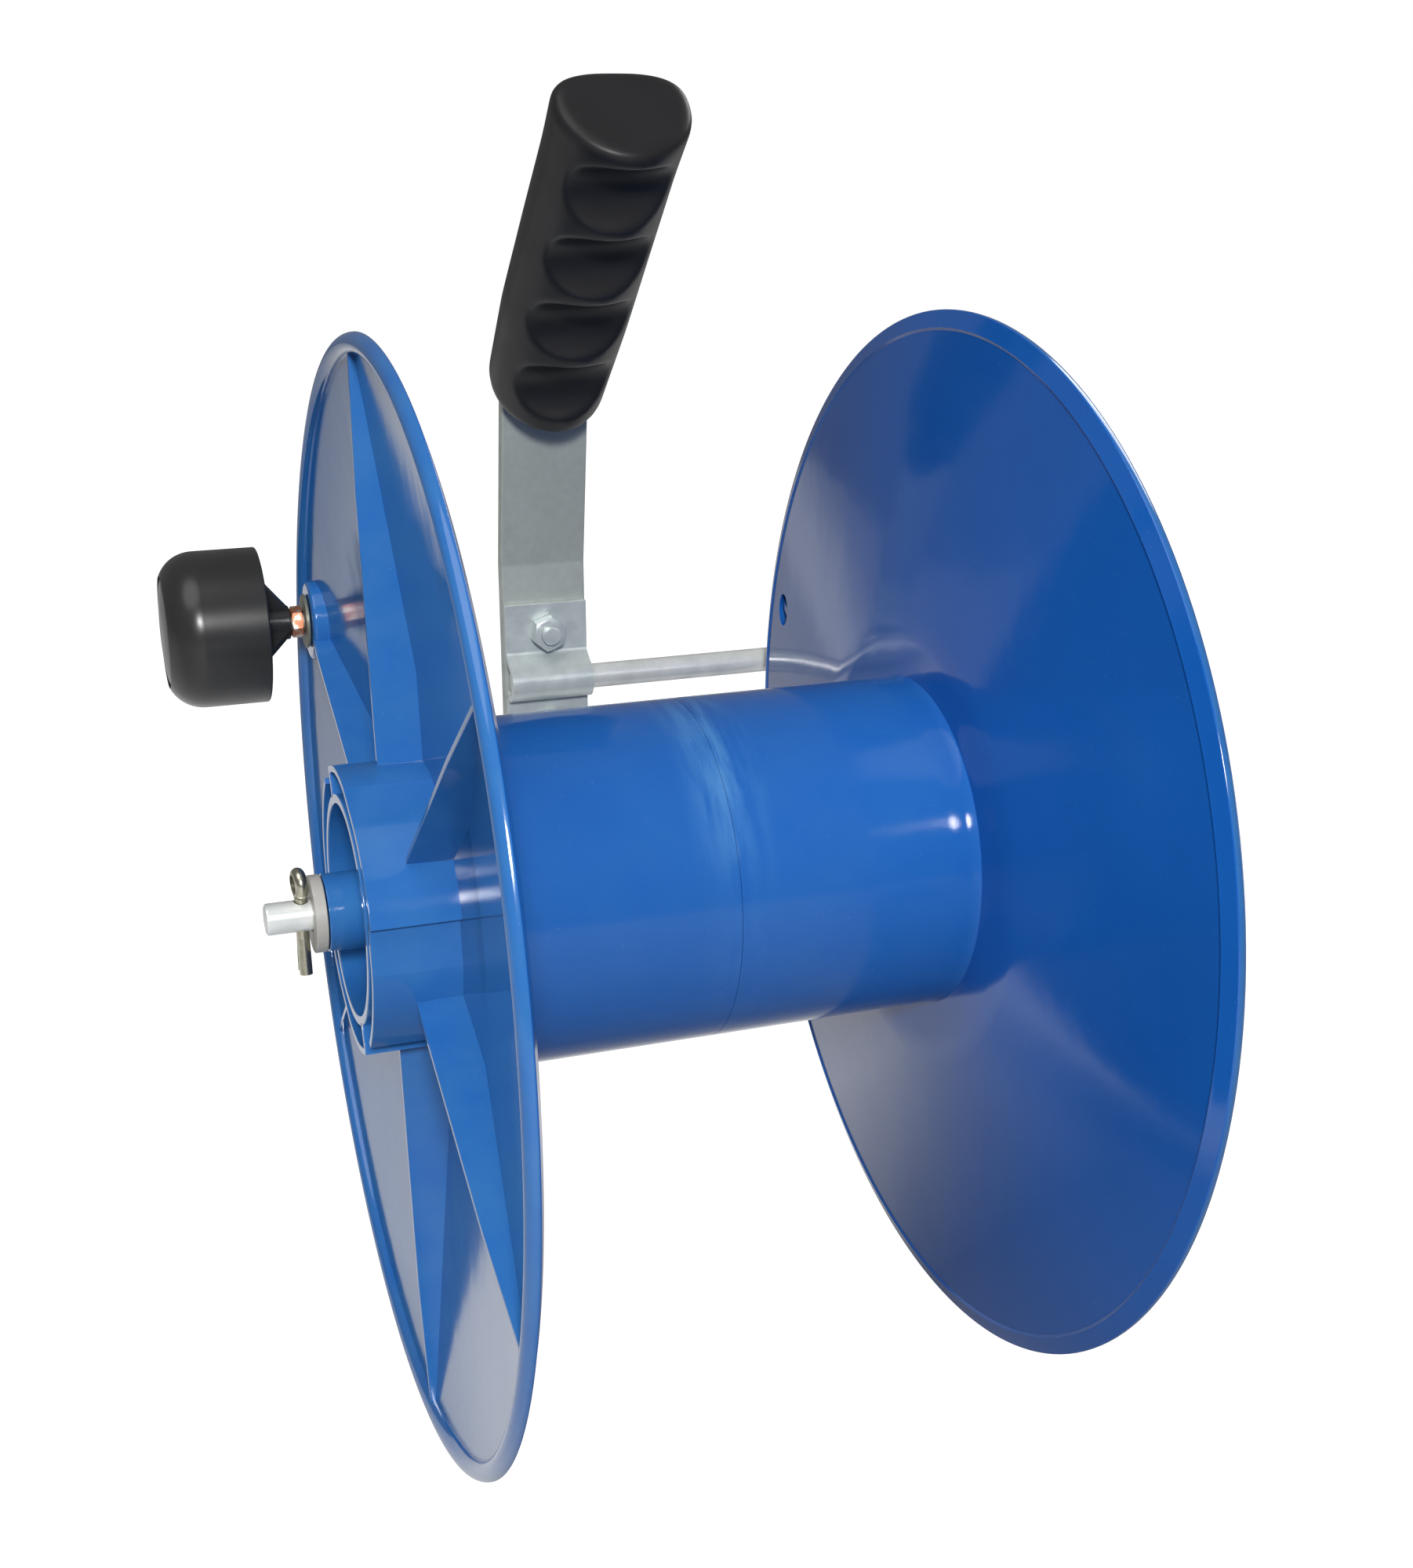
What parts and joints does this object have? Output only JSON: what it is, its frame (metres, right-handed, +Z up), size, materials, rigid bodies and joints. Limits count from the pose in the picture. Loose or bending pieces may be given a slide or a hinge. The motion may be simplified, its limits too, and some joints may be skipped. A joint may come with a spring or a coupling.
{
  "type": "line reel",
  "caption": "Hand-cranked line reel: an open plastic spool turning on a bent steel rod frame, with a hand grip to hold it by and a loose crank knob to wind it.",
  "frame": {"origin": "centre of the axle's free end face, on the spool's axis of turn", "axes": "+X along the axle from its free crank-side end towards the frame's side arm, +Y from the axle towards the rod's return run and the strap, +Z up towards the hand grip"},
  "size_m": [0.2445, 0.3033, 0.3369],
  "materials": {
    "blue_plastic": "glossy moulded blue",
    "galvanised_steel": "dull galvanised",
    "zinc_steel": "bright zinc plated",
    "yellow_zinc_steel": "yellow passivated zinc",
    "copper_plated_steel": "copper plated",
    "nylon": "natural moulded",
    "black_grip_plastic": "satin black",
    "black_knob_plastic": "semi-gloss charcoal black"
  },
  "bodies": {
    "frame": {"frame_rod": "galvanised_steel", "handle_strap": "galvanised_steel", "rod_clamp": "zinc_steel", "clamp_bolt_upper": "zinc_steel", "clamp_nut_upper": "zinc_steel", "clamp_bolt_lower": "zinc_steel", "clamp_nut_lower": "zinc_steel", "hand_grip": "black_grip_plastic", "axle_washer_crank": "nylon", "axle_washer_frame": "nylon", "split_pin_crank": "yellow_zinc_steel", "split_pin_frame": "yellow_zinc_steel"},
    "spool": {"spool_half_crank": "blue_plastic", "spool_half_frame": "blue_plastic", "tie_bolt_1": "zinc_steel", "tie_bolt_2": "zinc_steel", "tie_bolt_3": "zinc_steel", "tie_nut_1": "zinc_steel", "tie_nut_2": "zinc_steel", "tie_nut_3": "zinc_steel", "knob_bolt": "zinc_steel", "knob_fixing_washer": "zinc_steel", "knob_fixing_nut": "copper_plated_steel", "knob_lock_washer": "zinc_steel", "knob_lock_nut": "zinc_steel"},
    "crank_knob": {"knob_body": "black_knob_plastic", "knob_end_cap": "black_knob_plastic"}
  },
  "joints": [
    {"name": "spool_spin", "type": "hinge", "parent": "frame", "child": "spool", "pos_m": [0.1087, 0, 0], "axis": [1, 0, 0], "continuous": true},
    {"name": "knob_spin", "type": "hinge", "parent": "spool", "child": "crank_knob", "pos_m": [0, 0.11312, 0.0457], "axis": [1, 0, 0], "continuous": true}
  ]
}
